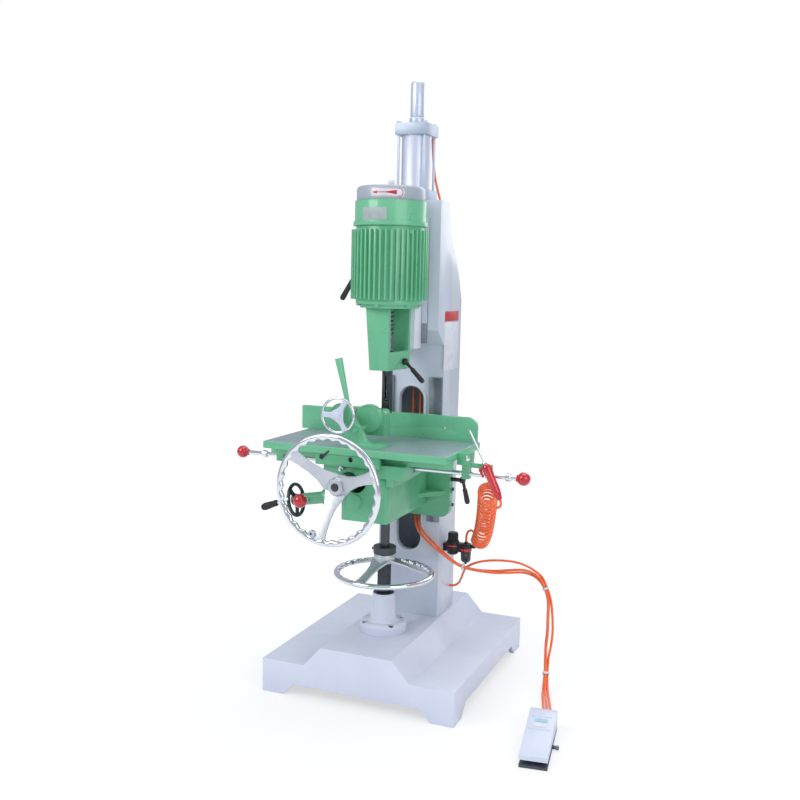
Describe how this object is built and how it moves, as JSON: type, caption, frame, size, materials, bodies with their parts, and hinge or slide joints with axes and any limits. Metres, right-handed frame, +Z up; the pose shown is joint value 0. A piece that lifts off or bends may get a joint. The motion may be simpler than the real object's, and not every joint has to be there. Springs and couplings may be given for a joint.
{
  "type": "floor-standing mortiser",
  "caption": "Floor-standing pneumatic hollow-chisel mortiser: motor head on a column, crossed slides with handwheels, clamp, fence and foot pedal on air hoses.",
  "frame": {"origin": "on the floor, midway between the table wheel's rim and the base's back edge, on the column's centre plane", "axes": "+Z up, the operator stands at -Y, +X to the operator's right, along the table's travel"},
  "size_m": [1.1251, 0.8765, 1.93],
  "materials": {
    "base_paint": "gloss",
    "column_paint": "gloss",
    "green_paint": "gloss",
    "white_paint": "gloss",
    "grey_paint": "satin",
    "black_paint": "gloss",
    "machined_steel": "satin",
    "dark_steel": "satin",
    "table_iron": "satin",
    "chrome": "polished",
    "cylinder_alloy": "satin",
    "bronze": "satin",
    "red_plastic": "gloss",
    "black_plastic": "satin",
    "orange_hose": "gloss",
    "pedal_shell": "satin"
  },
  "bodies": {
    "stand": {"base_casting": "base_paint", "column": "column_paint", "way_strips": "machined_steel", "lift_pedestal": "base_paint", "lift_nut": "bronze", "frame_bolts": "dark_steel", "cylinder_lower_head": "cylinder_alloy", "cylinder_barrel": "chrome", "cylinder_upper_head": "cylinder_alloy", "tie_rods": "machined_steel", "cylinder_top_tube": "cylinder_alloy", "cylinder_hose": "orange_hose", "air_regulator": "black_plastic", "coil_hose_low": "orange_hose", "hose_a": "orange_hose", "hose_b": "orange_hose", "hose_supply": "orange_hose", "hose_ties": "white_paint", "pedal_base": "black_paint"},
    "head": {"head_slide": "white_paint", "piston_rod": "chrome", "chisel_housing": "green_paint", "motor_flange": "green_paint", "motor_body": "green_paint", "motor_head": "green_paint", "motor_cap": "grey_paint", "motor_plates": "white_paint", "motor_bearings": "machined_steel", "hollow_chisel": "dark_steel"},
    "spindle_shaft": {"spindle": "machined_steel", "auger_bit": "dark_steel"},
    "chisel_lock": {"chisel_lock_lever": "black_paint"},
    "depth_stop": {"depth_stop_lever": "black_paint"},
    "knee": {"knee_casting": "green_paint", "knee_keeper": "machined_steel", "coil_hose_mid": "orange_hose"},
    "knee_clamp": {"knee_clamp_lever": "black_paint"},
    "lift_wheel": {"lift_screw": "dark_steel", "lift_handwheel": "chrome"},
    "side_wheel": {"side_handwheel": "black_plastic"},
    "slide_lock": {"slide_lock_lever": "red_plastic"},
    "saddle_slide": {"saddle": "green_paint", "coil_hose_top": "orange_hose"},
    "apron_screw": {"thumb_screw": "chrome"},
    "table_wheel": {"table_handwheel": "chrome", "table_pinion": "dark_steel"},
    "work_table": {"table": "table_iron", "table_rack": "machined_steel", "fence": "green_paint", "rod_brackets": "green_paint", "vise_bracket": "green_paint", "air_gun": "red_plastic"},
    "stop_bar": {"stop_rod": "chrome", "ball_knobs": "red_plastic"},
    "clamp_jaw": {"vise_jaw": "green_paint"},
    "clamp_screw": {"vise_handwheel": "chrome"},
    "clamp_lever": {"vise_lever": "green_paint"},
    "trigger": {"gun_trigger": "red_plastic"},
    "air_knob": {"regulator_knob": "red_plastic"},
    "treadle": {"pedal_treadle": "pedal_shell"}
  },
  "joints": [
    {"name": "head_feed", "type": "slide", "parent": "stand", "child": "head", "axis": [0, 0, 1], "range_m": [-0.07, 0]},
    {"name": "spindle_turn", "type": "hinge", "parent": "head", "child": "spindle_shaft", "pos_m": [0, -0.08175, 1.1], "axis": [0, 0, 1], "continuous": true},
    {"name": "chisel_lock_turn", "type": "hinge", "parent": "head", "child": "chisel_lock", "pos_m": [0.055, -0.04175, 1.047], "axis": [1, 0, 0], "range_deg": [-40, 40]},
    {"name": "depth_stop_turn", "type": "hinge", "parent": "head", "child": "depth_stop", "pos_m": [-0.1, 0.05265, 1.335], "axis": [1, 0, 0], "range_deg": [-50, 30]},
    {"name": "knee_lift", "type": "slide", "parent": "stand", "child": "knee", "axis": [0, 0, 1], "range_m": [-0.03, 0.08]},
    {"name": "knee_clamp_turn", "type": "hinge", "parent": "knee", "child": "knee_clamp", "pos_m": [0.16, 0.11025, 0.656], "axis": [1, 0, 0], "range_deg": [-40, 40]},
    {"name": "lift_wheel_turn", "type": "hinge", "parent": "knee", "child": "lift_wheel", "pos_m": [-0.011, -0.04675, 0.4], "axis": [0, 0, 1], "range_deg": [-2160, 5760]},
    {"name": "saddle_feed", "type": "slide", "parent": "knee", "child": "saddle_slide", "axis": [0, 1, 0], "range_m": [-0.095, 0]},
    {"name": "side_wheel_turn", "type": "hinge", "parent": "knee", "child": "side_wheel", "pos_m": [-0.2, -0.18675, 0.61312], "axis": [-0.9833, 0, -0.1822], "range_deg": [-272.65, 0.5]},
    {"name": "slide_lock_turn", "type": "hinge", "parent": "knee", "child": "slide_lock", "pos_m": [-0.207, -0.21675, 0.61182], "axis": [0, 1, 0], "range_deg": [-45, 45]},
    {"name": "apron_screw_turn", "type": "hinge", "parent": "saddle_slide", "child": "apron_screw", "pos_m": [-0.067, -0.26675, 0.738], "axis": [0, 0, 1], "range_deg": [-180, 180]},
    {"name": "table_feed", "type": "slide", "parent": "saddle_slide", "child": "work_table", "axis": [1, 0, 0], "range_m": [-0.135, 0.15]},
    {"name": "table_wheel_turn", "type": "hinge", "parent": "saddle_slide", "child": "table_wheel", "pos_m": [-0.03, -0.28675, 0.701], "axis": [0, 1, 0], "range_deg": [-243, 270]},
    {"name": "stop_bar_slide", "type": "slide", "parent": "work_table", "child": "stop_bar", "axis": [1, 0, 0], "range_m": [-0.04, 0.035]},
    {"name": "jaw_slide", "type": "slide", "parent": "work_table", "child": "clamp_jaw", "axis": [0, 1, 0], "range_m": [-0.04, 0]},
    {"name": "clamp_screw_turn", "type": "hinge", "parent": "clamp_jaw", "child": "clamp_screw", "pos_m": [-0.075, -0.23675, 0.896], "axis": [0, 1, 0], "range_deg": [-3600, 0]},
    {"name": "clamp_lever_turn", "type": "hinge", "parent": "work_table", "child": "clamp_lever", "pos_m": [-0.075, -0.25475, 0.896], "axis": [0, 1, 0], "range_deg": [-25, 60]},
    {"name": "trigger_pull", "type": "hinge", "parent": "work_table", "child": "trigger", "pos_m": [0.346, -0.18975, 0.756], "axis": [0, 1, 0], "range_deg": [-12, 0], "stiffness_Nm_per_rad": 0.2, "springref_deg": 11.46},
    {"name": "air_knob_turn", "type": "hinge", "parent": "stand", "child": "air_knob", "pos_m": [0.14, 0.19025, 0.43], "axis": [0, 0, 1], "range_deg": [-135, 135]},
    {"name": "treadle_press", "type": "hinge", "parent": "stand", "child": "treadle", "pos_m": [0.56442, -0.19564, 0.038], "axis": [0.9914, 0.1305, 0], "range_deg": [0, 2], "stiffness_Nm_per_rad": 60, "springref_deg": -2.86}
  ],
  "couplings": [
    {"joint": "knee_lift", "follows": "lift_wheel_turn", "m_per_rad": 0.00079577},
    {"joint": "side_wheel_turn", "follows": "saddle_feed", "rad_per_m": 50},
    {"joint": "table_wheel_turn", "follows": "table_feed", "rad_per_m": 31.25},
    {"joint": "jaw_slide", "follows": "clamp_screw_turn", "m_per_rad": 0.00063662}
  ]
}
